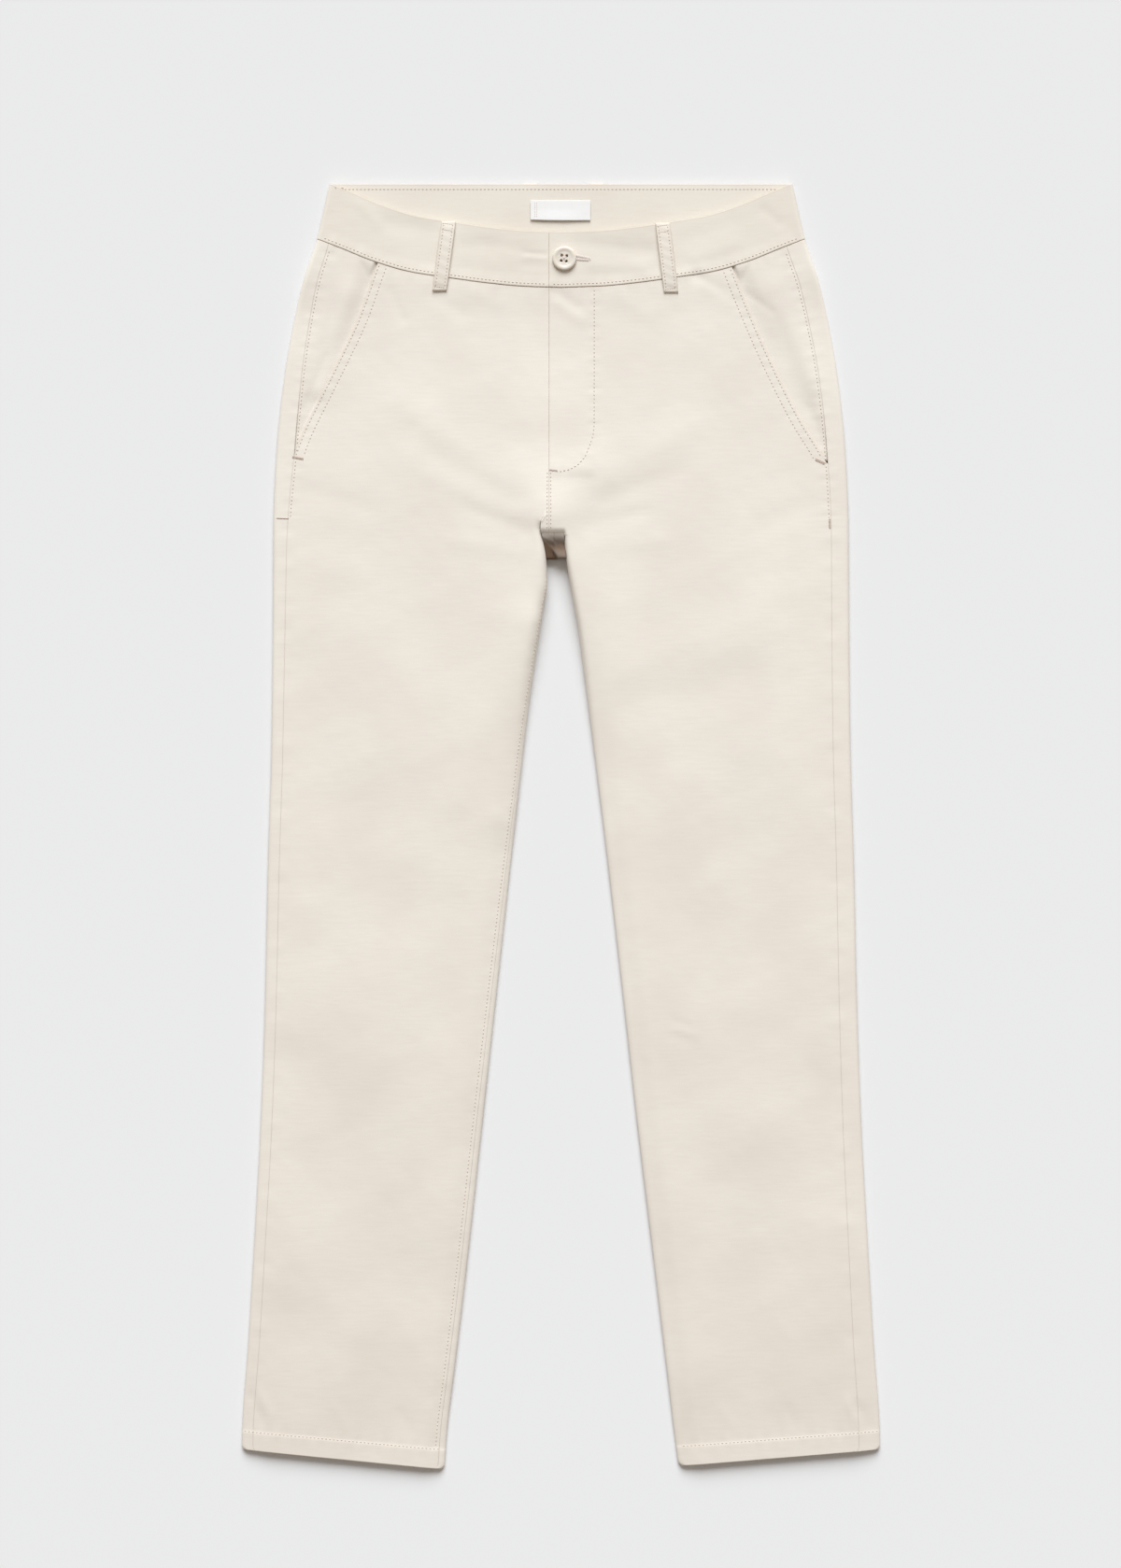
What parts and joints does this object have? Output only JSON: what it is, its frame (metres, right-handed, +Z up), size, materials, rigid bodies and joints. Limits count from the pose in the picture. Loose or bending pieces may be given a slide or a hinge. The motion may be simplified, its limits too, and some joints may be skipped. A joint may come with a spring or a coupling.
{
  "type": "chino trousers",
  "caption": "Plain cotton chino trousers with a straight leg, slanted front pockets, belt loops and a buttoned waistband, laid flat on their back.",
  "frame": {"origin": "on the surface the garment lies on, under the middle of its bounding box", "axes": "+Z up out of the front side, +Y from the hems to the waist, +X to the wearer's left"},
  "size_m": [0.4788, 0.964, 0.0152],
  "materials": {
    "cloth": "matte cotton twill, off-white to pale stone",
    "button": "satin, horn-like pale resin",
    "label": "smooth white woven tape"
  },
  "bodies": {
    "root": {"front_right": "cloth", "back_right": "cloth", "pocket_facing_right": "cloth", "waistband_right": "cloth", "belt_loop_front_right": "cloth", "belt_loop_back_right": "cloth", "front_left": "cloth", "back_left": "cloth", "pocket_facing_left": "cloth", "waistband_left": "cloth", "belt_loop_front_left": "cloth", "belt_loop_back_left": "cloth", "waist_button": "button", "waist_label": "label"}
  },
  "joints": []
}
